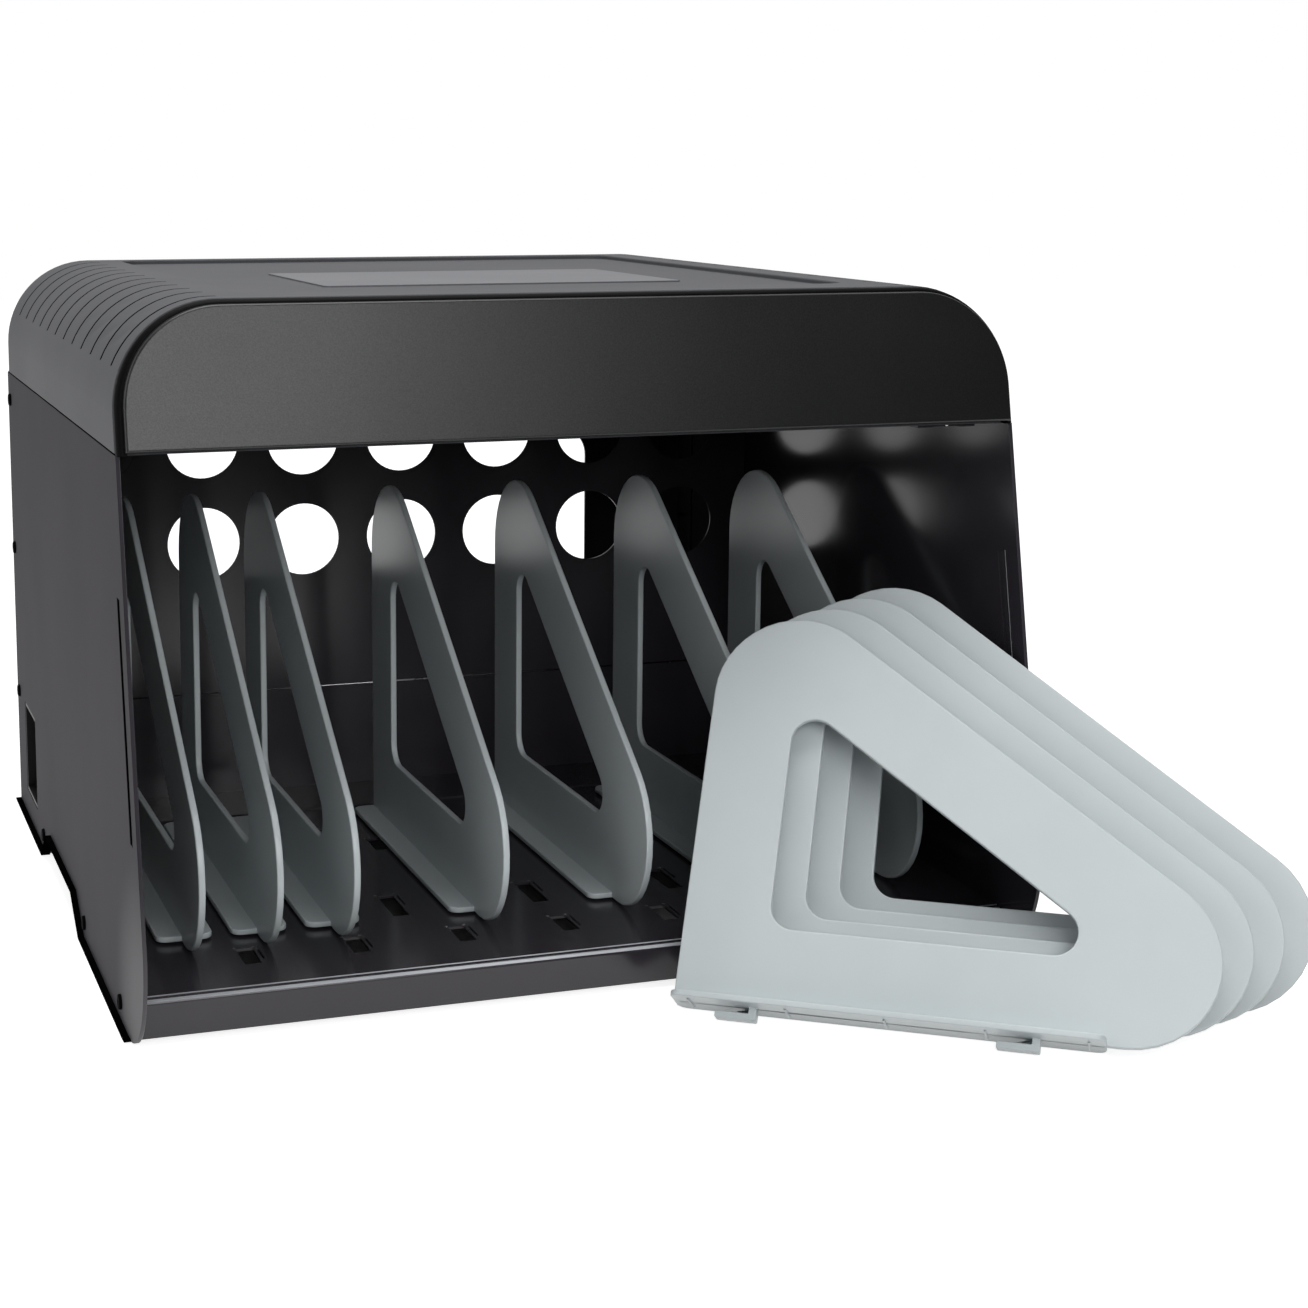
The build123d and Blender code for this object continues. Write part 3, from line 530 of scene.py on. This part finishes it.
# %% Place the four loose dividers
loose_origin, loose_step = np.array([27.6, -1.2]), np.array([24.4, 9.6])
loose_count, loose_turn, loose_lean, loose_lean_step = 4, radians(54.9), 33.0, 2.5
for i in range(loose_count):
    lean = radians(loose_lean - i * loose_lean_step)
    rotation = np.array(Matrix.Rotation(loose_turn, 3, "Z") @ Matrix.Rotation(lean, 3, "Y"))
    lift = max(flange_half * sin(lean), hook_half * sin(lean) - hook_low * cos(lean))
    leaned = divider_points @ rotation.T + np.append(loose_origin + i * loose_step, lift)
    node = "loose_divider_%d" % (i + 1)
    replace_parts(piece(node + "_moulding", [(leaned, divider_faces)], divider_skin, "loose_%d" % (i + 1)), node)
    print(node, "lowest point", round(float(leaned[:, 2].min()), 3), "mm")

# %% [markdown]
# The vents in the cover's shoulders are backed by black strips, painted shade that makes them read as thin
# dark lines. A plane would leave the curve, so each strip follows the shoulder's arc just below the skin: a
# ring sector about the shoulder's centre, x = cx + r cos(t), z = cz + r sin(t), that ends in a flat run.

# %% Black strips of painted shade behind the vents
shoulder_radius, vent_width, vent_fall, vent_reach = 53.0, 3.6, 33.0, 56.0
vent_first, vent_pitch, vent_count = 84.0, 35.0, 12
strip_skin, strip_thick, strip_edge, strip_side, strip_end = 0.12, 1.5, 0.15, 0.05, 0.2
centre = np.array([half_width - shoulder_radius, height - shoulder_radius])
outer_radius = shoulder_radius - strip_skin
first_angle = np.arcsin((height - vent_fall + strip_end - centre[1]) / outer_radius)
turns = np.linspace(first_angle, np.pi / 2, 20)
rays = np.stack([np.cos(turns), np.sin(turns)], -1)
facing = np.concatenate([rays, rays[-1:]])


def shoulder_row(radius):
    """Points along the arc of a radius, then one at the strip's inner end on the same level."""
    arc = centre + rays * radius
    return np.concatenate([arc, [[half_width - vent_reach + strip_end, arc[-1, 1]]]])


rows = shoulder_row(outer_radius), shoulder_row(outer_radius - strip_thick)
strips = []
for side in (-1, 1):
    mirror = np.array([side, 1.0])
    sector = [np.concatenate(pair) * mirror for pair in ((rows[0], rows[1][::-1]), (facing, -facing[::-1]))]
    for y in vent_first + vent_pitch * np.arange(vent_count):
        reach_y = vent_width / 2 - strip_side
        strips.append(slab(sector, y - reach_y, y + reach_y, strip_edge, along_y))
# The vent strips are painted shade: black sheets where the vents lie in shade.
piece("vent_strips", strips, painted_shade_black, "cabinet")
print("vent strips:", len(strips))

# %% [markdown]
# A black fill lies in the narrow step under the cover, and another fills the long slit behind the front
# edge of each side, which leans back with that edge: y = toe + z tan(rake). They are painted shade: black
# sheets where the step and the slits lie in shade, and they keep light from shining through. On the right
# side the slit is seen from inside the cabinet, where a strip of coated steel backs the black fill, and a
# pale strip on the slit's front edge is a painted highlight for the fine light line there.

# %% Painted shade under the cover and in the side slits
rake, toe_corner = radians(11.45), -8.5
slit_back, slit_across, slit_low, slit_high = 13.0, 7.5 / cos(rake), 105.0, 221.0
fill_gap, fill_edge, fill_round, slit_round = 0.05, 0.05, 0.1, 0.3
step_front, step_rear, step_high = 53.2, 511.6, 0.9
step_reach, slit_reach = (238.95, 239.8), (238.3, 239.85)
backing_reach, rim_reach, rim_width, rim_ahead = (238.05, 238.28), (237.9, 238.2), 0.5, 0.15


def slit_outline(first, last, low, high, radius):
    """A leaning strip between two distances behind the slit's front edge and two heights."""
    corners = [(toe_corner + z * tan(rake) + slit_back + behind, z)
               for behind, z in ((first, low), (last, low), (last, high), (first, high))]
    return rounded_outline(corners, [radius] * 4, 3, 8)


# The black fills in the step and the slits are painted shade.
shade_fills = []
slit = slit_outline(fill_gap, slit_across - fill_gap, slit_low + fill_gap, slit_high - fill_gap, slit_round)
step_low = side_top + fill_gap
step = box_outline(step_front, step_rear, step_low, step_low + step_high, fill_round, 3, 2)
for side in (-1, 1):
    for outline, reach_x in ((step, step_reach), (slit, slit_reach)):
        near, far = sorted(side * x for x in reach_x)
        shade_fills.append(slab(outline, near, far, fill_edge, along_x))
backing = slab(slit, *backing_reach, fill_edge, along_x)
piece("slit_filler", [backing], powder_coat, "cabinet")
# The pale strip on the right slit's front edge is a painted highlight.
rim = slit_outline(-rim_ahead, rim_width - rim_ahead, slit_low, slit_high, fill_round)
rim = slab(rim, *rim_reach, fill_edge, along_x)
piece("slit_painted_highlight", [rim], pale_highlight, "cabinet")
piece("painted_shade_fills", shade_fills, painted_shade_black, "cabinet")
print("seals:", len(shade_fills))

# %% [markdown]
# The lock's keeper has bright rivets, and so has the floor, two behind each of its slots. A rivet's head
# is a low dome: a quarter ellipse turned round its axis, where a half sphere would stand too proud.

# %% Rivets at the keeper and the floor slots


def dome(centre, axis, radius, rise, turns=20, rings=6):
    """Closed dome on a point: ring k has radius r cos(t) and height h sin(t), t from 0 to 90 degrees."""
    axis = np.asarray(axis, float)
    across = np.cross(axis, (0.0, 0.0, 1.0) if abs(axis[2]) < 0.9 else (1.0, 0.0, 0.0))
    across /= np.linalg.norm(across)
    other = np.cross(axis, across)
    rise_angle = np.linspace(0, np.pi / 2, rings + 1)[:-1, None, None]
    round_angle = np.linspace(0, 2 * np.pi, turns, endpoint=False)
    circle = np.cos(round_angle)[:, None] * across + np.sin(round_angle)[:, None] * other
    shell = np.cos(rise_angle) * radius * circle + np.sin(rise_angle) * rise * axis
    points = np.concatenate([shell.reshape(-1, 3), [rise * axis]]) + np.asarray(centre, float)
    i, j = np.meshgrid(np.arange(rings - 1), np.arange(turns), indexing="ij")
    m = (j + 1) % turns
    quads = [i * turns + j, i * turns + m, (i + 1) * turns + m, (i + 1) * turns + j]
    quads = np.stack(quads, -1).reshape(-1, 4).tolist()
    last, top = (rings - 1) * turns, rings * turns
    cap = [[last + k, last + (k + 1) % turns, top] for k in range(turns)]
    return points, outward(points, quads + cap + [list(range(turns))[::-1]])


floor_top, rivet_radius, rivet_rise, rivet_aside, rivet_behind = 24.0, 1.0, 0.22, 5.0, 1.6
keeper_rivets = [((207.0, 61.4, 288.8), 0.9, 0.7), ((227.0, 63.3, 289.2), 0.7, 0.6)]
rivets = [dome(place, (0, -1, 0), radius, rise) for place, radius, rise in keeper_rivets]
slot_rows = [(11, slot_pitch, (160.8, 299.8)), (7, 57.5, (98.5, 271.0))]
for count, pitch, rears in slot_rows:
    for column in range(count):
        for rear in rears:
            for side in (-1, 1):
                x = (column - count // 2) * pitch + side * rivet_aside
                place = (x, rear + rivet_behind, floor_top)
                rivets.append(dome(place, (0, 0, 1), rivet_radius, rivet_rise, 12, 3))
piece("keeper_rivets", rivets, nickel, "cabinet")
print("rivets:", len(rivets))

# %% [markdown]
# Long straight highlight lines are profiles drawn along X. The floor's front lip is rolled over, and its
# nose and the fold behind it carry pale strips, painted highlights: a thin skin over the nose's arc, and a
# fine bead on the fold. The seam between the two partition sheets is a rolled bead of bare pale metal, a
# painted highlight line that mirrors the front lamp at its left end.

# %% Painted highlight lines on the lip, and the bead on the partition's seam


def drawn(ring, end):
    """A closed profile of (y, z) drawn along X from -end to end, with flat ends."""
    count, j = len(ring), np.arange(len(ring))
    points = np.concatenate([np.column_stack([np.full(count, x), ring]) for x in (-end, end)])
    faces = np.stack([j, (j + 1) % count, (j + 1) % count + count, j + count], -1).tolist()
    return points, outward(points, faces + [list(range(count))[::-1], list(range(count, 2 * count))])


def ellipse(middle, half_y, half_z, steps):
    """Ring of (y, z) = middle + (half_y cos(t), half_z sin(t))."""
    t = np.linspace(0, 2 * np.pi, steps, endpoint=False)
    return np.array(middle) + np.stack([half_y * np.cos(t), half_z * np.sin(t)], -1)


lip_front, lip_top, lip_roll, lip_end, glint_proud, glint_deep = 39.0, 23.2, 2.6, 237.4, 0.1, 0.2
glint_turns = np.linspace(radians(14.0), radians(58.0), 12)
roll_centre = np.array([lip_front + lip_roll, lip_top - lip_roll])
nose = np.concatenate([roll_centre + radius * np.stack([-np.sin(turn), np.cos(turn)], -1) for radius, turn in
                       ((lip_roll + glint_proud, glint_turns), (lip_roll - glint_deep, glint_turns[::-1]))])
fold_place, fold_radius = (43.62, 23.80), 0.32
fold = ellipse(fold_place, fold_radius, fold_radius, 12)
# The pale strips on the lip's nose and fold are painted highlights.
piece("lip_painted_highlights", [drawn(nose, lip_end), drawn(fold, lip_end)], pale_highlight, "cabinet")
seam_place, seam_proud, seam_half, seam_end = (396.0, 91.15), 0.5, 0.55, 237.5
seam = ellipse(seam_place, -seam_proud, seam_half, 16)
# The seam bead's bare pale metal is a painted highlight line.
piece("seam_bead", [drawn(seam, seam_end)], seam_light, "cabinet")
print("lip lines and seam bead made")

# %% [markdown]
# The camera stands a little to the left of the cabinet and above its roof, and looks slightly down.
# Its place and angles come from matching the cabinet's straight edges. The picture is a crop whose
# optical middle lies up and to the left of its centre, which the two shift values give.

# %% Camera
frame_px, focal_px = 1308.0, 2334.0
middle_px = (506.0, 532.0)
yaw, pitch, roll = radians(-18.1), radians(-9.1), radians(0.09)
eye = Vector(metres((-404.8, -1049.43, 429.75)))
look = Vector((-sin(yaw) * cos(pitch), cos(yaw) * cos(pitch), sin(pitch)))
level = Vector((cos(yaw), sin(yaw), 0))
upright = level.cross(look)
right = cos(roll) * level + sin(roll) * upright
up = cos(roll) * upright - sin(roll) * level
camera_data = bpy.data.cameras.new("camera")
camera_data.sensor_width = 36.0
camera_data.lens = focal_px / frame_px * camera_data.sensor_width
camera_data.shift_x = (frame_px / 2 - middle_px[0]) / frame_px
camera_data.shift_y = (middle_px[1] - frame_px / 2) / frame_px
camera = bpy.data.objects.new("camera", camera_data)
turned = Matrix((right, up, -look)).transposed().to_4x4()
camera.matrix_world = Matrix.Translation(eye) @ turned
bpy.context.scene.collection.objects.link(camera)
bpy.context.scene.camera = camera
print("camera lens", round(camera_data.lens, 2), "mm, looks", [round(v, 3) for v in look])

# %% [markdown]
# The set stands on a white laminate table. It glows for the camera, as the next step says, but under the
# cabinet it must stay dark, because the floor slots look down on it. So the glow is kept off a rectangle
# inside the cabinet's plan, and comes back over its last 12 mm.

# %% The table, and where it may glow
scene = bpy.context.scene
scene.view_settings.view_transform = "Standard"
table_half, soft_edge = 6.0, 12.0 * MM
table_mesh = bpy.data.meshes.new("table")
table_corners = [(x * table_half, y * table_half, 0) for x, y in ((-1, -1), (1, -1), (1, 1), (-1, 1))]
table_mesh.from_pydata(table_corners, [], [(0, 1, 2, 3)])
table = bpy.data.objects.new("table", table_mesh)
scene.collection.objects.link(table)
table_white = bpy.data.materials.new("white_laminate_table")
table_white.use_nodes = True
tree = table_white.node_tree
tree.nodes.clear()
where = add(tree, "ShaderNodeTexCoord").outputs["Object"]
spot = add(tree, "ShaderNodeSeparateXYZ", {}, {0: where})
plan_low, plan_high = metres((-222.0, 52.0, 0)), metres((222.0, 500.0, 0))
beyond = []
for axis, low, high in zip("XY", plan_low.tolist(), plan_high.tolist()):
    middle, half = (low + high) / 2, (high - low) / 2
    away = add(tree, "ShaderNodeMath", {"operation": "SUBTRACT"}, {0: spot.outputs[axis], 1: middle})
    away = add(tree, "ShaderNodeMath", {"operation": "ABSOLUTE"}, {0: away.outputs[0]})
    beyond.append(add(tree, "ShaderNodeMapRange", {}, {0: away.outputs[0], 1: half - soft_edge, 2: half}))
outside = add(tree, "ShaderNodeMath", {"operation": "MAXIMUM"},
              {0: beyond[0].outputs[0], 1: beyond[1].outputs[0]})
print("table made, dark under", [round(v, 3) for v in plan_low.tolist()[:2] + plan_high.tolist()[:2]])

# %% [markdown]
# A white table under gentle lamps would come out grey. So it adds white for the camera, a little less near
# the set, where that leaves the set's own shadow as a soft grey. Glossy rays see the near table bright and
# the part beyond the front dark, as in a room where only the set's corner is lit, and that is what shapes
# the fascia and the lip.

# %% The table's tone and glow
path = add(tree, "ShaderNodeLightPath")
near_y, end_y = (float(metres((0, y, 0))[1]) for y in (-350.0, -900.0))
near_glow, far_glow, glow_start, glow_end, gloss_share = 0.84, 1.0, 0.8, 2.0, 0.9
ahead = add(tree, "ShaderNodeMapRange", {}, {0: spot.outputs["Y"], 1: end_y, 2: near_y})
gone = add(tree, "ShaderNodeMath", {"operation": "SUBTRACT"}, {0: 1.0, 1: ahead.outputs[0]})
gone = add(tree, "ShaderNodeMath", {"operation": "MULTIPLY"},
           {0: gone.outputs[0], 1: path.outputs["Is Glossy Ray"]})
tone = add(tree, "ShaderNodeMix", {"data_type": "RGBA"},
           {0: gone.outputs[0], 6: linear("#d0d0d0"), 7: linear("#000000")})
shade = add(tree, "ShaderNodeBsdfDiffuse", {}, {"Color": tone.outputs[2]})
distance = add(tree, "ShaderNodeVectorMath", {"operation": "LENGTH"}, {0: where})
camera_glow = add(tree, "ShaderNodeMapRange", {},
                  {0: distance.outputs["Value"], 1: glow_start, 2: glow_end, 3: near_glow, 4: far_glow})
camera_glow = add(tree, "ShaderNodeMath", {"operation": "MULTIPLY"},
                  {0: camera_glow.outputs[0], 1: path.outputs["Is Camera Ray"]})
gloss_glow = add(tree, "ShaderNodeMath", {"operation": "MULTIPLY"},
                 {0: ahead.outputs[0], 1: path.outputs["Is Glossy Ray"]})
gloss_glow = add(tree, "ShaderNodeMath", {"operation": "MULTIPLY"},
                 {0: gloss_glow.outputs[0], 1: gloss_share})
glow = add(tree, "ShaderNodeMath", {"operation": "ADD"},
           {0: camera_glow.outputs[0], 1: gloss_glow.outputs[0]})
glow = add(tree, "ShaderNodeMath", {"operation": "MULTIPLY"}, {0: glow.outputs[0], 1: outside.outputs[0]})
white = add(tree, "ShaderNodeEmission", {}, {"Color": linear("#ffffff"), "Strength": glow.outputs[0]})
both = add(tree, "ShaderNodeAddShader", {}, {0: shade.outputs[0], 1: white.outputs[0]})
add(tree, "ShaderNodeOutputMaterial", {}, {"Surface": both.outputs[0]})
table_mesh.materials.append(table_white)
print("table tone and glow made")

# %% [markdown]
# The room is plain white to the camera, but it lights the object only gently, so that the lamps shape it.
# In a reflection it is dark in front, where the room is unlit, white behind, and bright overhead, where the
# ceiling carries the lamps.

# %% The white room
world = bpy.data.worlds.new("white_room")
scene.world = world
world.use_nodes = True
tree = world.node_tree
tree.nodes.clear()
room_light, front_gloss, rear_gloss, ceiling_gloss = 0.22, 0.06, 0.82, 1.1
front_heading, rear_heading, ceiling_start, ceiling_end = -0.3, 0.5, 0.72, 0.95
path = add(tree, "ShaderNodeLightPath")
seen = add(tree, "ShaderNodeMath", {"operation": "ADD", "use_clamp": True},
           {0: path.outputs["Is Camera Ray"], 1: path.outputs["Is Transmission Ray"]})
heading = add(tree, "ShaderNodeSeparateXYZ", {}, {0: add(tree, "ShaderNodeTexCoord").outputs["Generated"]})
gloss = add(tree, "ShaderNodeMapRange", {},
            {0: heading.outputs["Y"], 1: front_heading, 2: rear_heading, 3: front_gloss, 4: rear_gloss})
ceiling = add(tree, "ShaderNodeMapRange", {},
              {0: heading.outputs["Z"], 1: ceiling_start, 2: ceiling_end, 3: 0.0, 4: ceiling_gloss})
gloss = add(tree, "ShaderNodeMath", {"operation": "MAXIMUM"}, {0: gloss.outputs[0], 1: ceiling.outputs[0]})
indirect = add(tree, "ShaderNodeMix", {"data_type": "FLOAT"},
               {0: path.outputs["Is Glossy Ray"], 2: room_light, 3: gloss.outputs[0]})
strength = add(tree, "ShaderNodeMix", {"data_type": "FLOAT"},
               {0: seen.outputs[0], 2: indirect.outputs[0], 3: 1.0})
room = add(tree, "ShaderNodeBackground", {}, {"Color": linear("#ffffff"), "Strength": strength.outputs[0]})
add(tree, "ShaderNodeOutputWorld", {}, {"Surface": room.outputs[0]})
print("room made")

# %% [markdown]
# Three soft boxes, because small bare lamps would leave hard spots on the satin coat. The front one stands
# behind and above the camera, a little to its right, where its blurred reflection lies on the left end of
# the fascia and fades to the right. The one overhead lights the cover and the leaned plates. The one on the
# left gives the side of the cabinet its even grey.

# %% Lamps


def soft_box(name, place, target, width, tall, watts):
    """A rectangular lamp at a place, turned to a target."""
    data = bpy.data.lights.new(name, "AREA")
    data.shape = "RECTANGLE"
    data.size, data.size_y, data.energy = width, tall, watts
    lamp = bpy.data.objects.new(name, data)
    lamp.location = place
    lamp.rotation_euler = (Vector(target) - Vector(place)).to_track_quat("-Z", "Y").to_euler()
    scene.collection.objects.link(lamp)
    return lamp


soft_box("front_soft_box", (-0.15, -1.75, 0.9), (-0.1, -0.1, 0.3), 1.0, 0.8, 12.5)
soft_box("overhead_soft_box", (-0.1, -0.05, 2.0), (0.0, -0.05, 0.2), 1.6, 1.2, 24.0)
soft_box("left_soft_box", (-1.9, -0.4, 0.9), (-0.2, 0.0, 0.2), 1.2, 1.0, 6.5)
